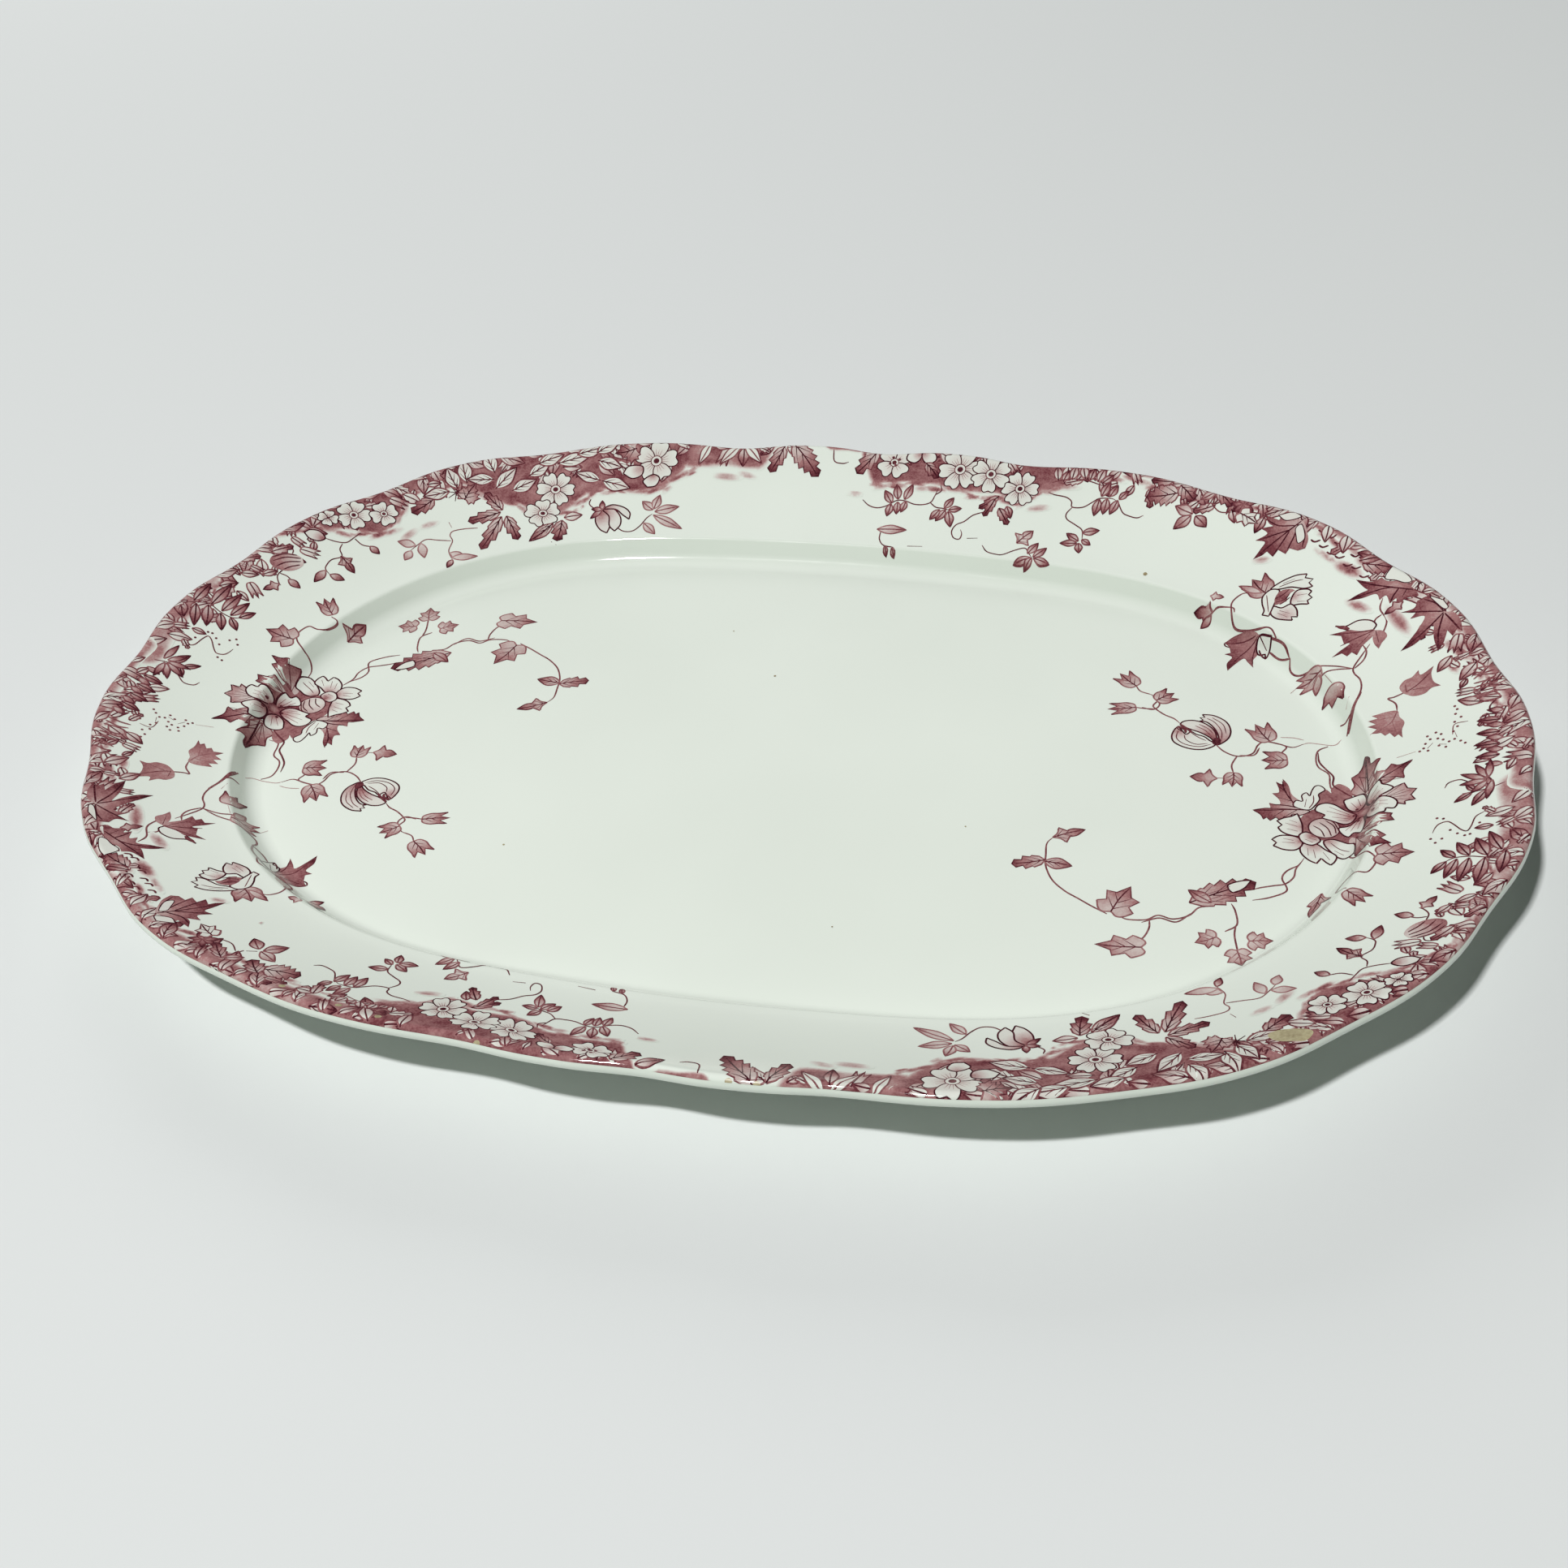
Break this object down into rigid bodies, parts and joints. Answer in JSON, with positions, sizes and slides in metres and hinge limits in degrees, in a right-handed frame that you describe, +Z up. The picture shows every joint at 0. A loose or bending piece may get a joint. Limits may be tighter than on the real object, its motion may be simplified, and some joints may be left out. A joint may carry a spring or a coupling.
{
  "type": "serving platter",
  "caption": "Oval serving platter with a wide upswept rim, a softly lobed edge, a shallow flat well and a low foot ring",
  "frame": {"origin": "on the table plane under the middle of the platter", "axes": "+X along the platter's length, +Y across its width, +Z up out of the well"},
  "size_m": [0.4196, 0.2866, 0.0258],
  "materials": {
    "glazed_earthenware": "clear gloss glaze over an off-white body, with a mulberry floral print under the glaze"
  },
  "bodies": {
    "root": {"platter": "glazed_earthenware"}
  },
  "joints": []
}
